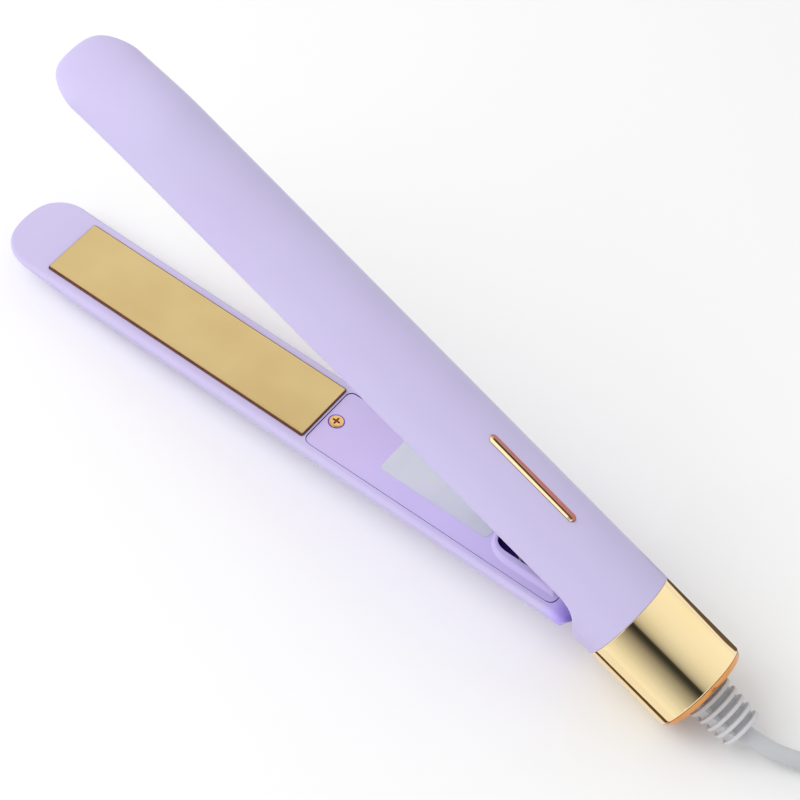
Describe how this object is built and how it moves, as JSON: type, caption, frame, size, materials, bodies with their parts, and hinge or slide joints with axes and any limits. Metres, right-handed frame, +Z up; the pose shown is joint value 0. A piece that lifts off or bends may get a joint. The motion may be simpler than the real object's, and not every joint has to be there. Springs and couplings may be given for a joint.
{
  "type": "hair straightening iron",
  "caption": "Slim travel flat iron: half-round lilac arms with gold plates, hinged at a gold-collared sleeve, sprung open, with a ribbed strain relief and bundled mains cord.",
  "frame": {"origin": "on the surface the open iron lies on, under the middle of the object's length and width, cord left out", "axes": "+Z up; +X along the arms from the jaw's tips towards the cord; Y is the hinge axis"},
  "size_m": [0.4247, 0.0454, 0.0986],
  "materials": {
    "lilac_shell": "satin, lightly pearled lilac",
    "lilac_cover": "satin lilac, a little deeper",
    "gold_plate": "satin gold coating",
    "gold_plating": "polished gold plating",
    "copper_plating": "polished copper-gold plating",
    "gold_screw": "bright",
    "soft_grey": "smooth, soft",
    "plug_grey": "fine matt",
    "tie_grey": "woven strap",
    "steel": "bright",
    "nickel_blades": "nickel plated",
    "brown_carrier": "heat-proof, matt",
    "heater_film": "film wrapped",
    "lead_insulation": "silicone",
    "label_foil": "silver foil, bare"
  },
  "bodies": {
    "upper_arm": {"upper_shell": "lilac_shell", "upper_inner_cover": "lilac_cover", "upper_cover_screw": "gold_screw", "upper_plate": "gold_plate", "upper_plate_carrier": "brown_carrier", "upper_heater": "heater_film", "upper_heater_clip": "steel", "trim_bar": "gold_plating", "collar": "gold_plating", "end_cap": "copper_plating", "strain_relief": "soft_grey", "cord_inner": "soft_grey", "cord_clamp": "lilac_cover", "clamp_screws": "steel", "upper_leads": "lead_insulation", "hinge_pin": "steel", "return_spring": "steel", "cord_lead": "soft_grey", "cord_hank": "soft_grey", "cord_tie": "tie_grey", "plug_body": "plug_grey", "plug_blades": "nickel_blades"},
    "lower_arm": {"lower_shell": "lilac_shell", "lower_inner_cover": "lilac_cover", "lower_cover_screw": "gold_screw", "rating_label": "label_foil", "lower_plate": "gold_plate", "lower_plate_carrier": "brown_carrier", "lower_heater": "heater_film", "lower_heater_clip": "steel", "lower_leads": "lead_insulation"}
  },
  "joints": [
    {"name": "jaw_hinge", "type": "hinge", "parent": "upper_arm", "child": "lower_arm", "pos_m": [0.0802, 0, 0.02438], "axis": [0, 1, 0], "range_deg": [0, 22.9], "stiffness_Nm_per_rad": 0.8, "springref_deg": -20.05, "deforming": ["return_spring"]}
  ]
}
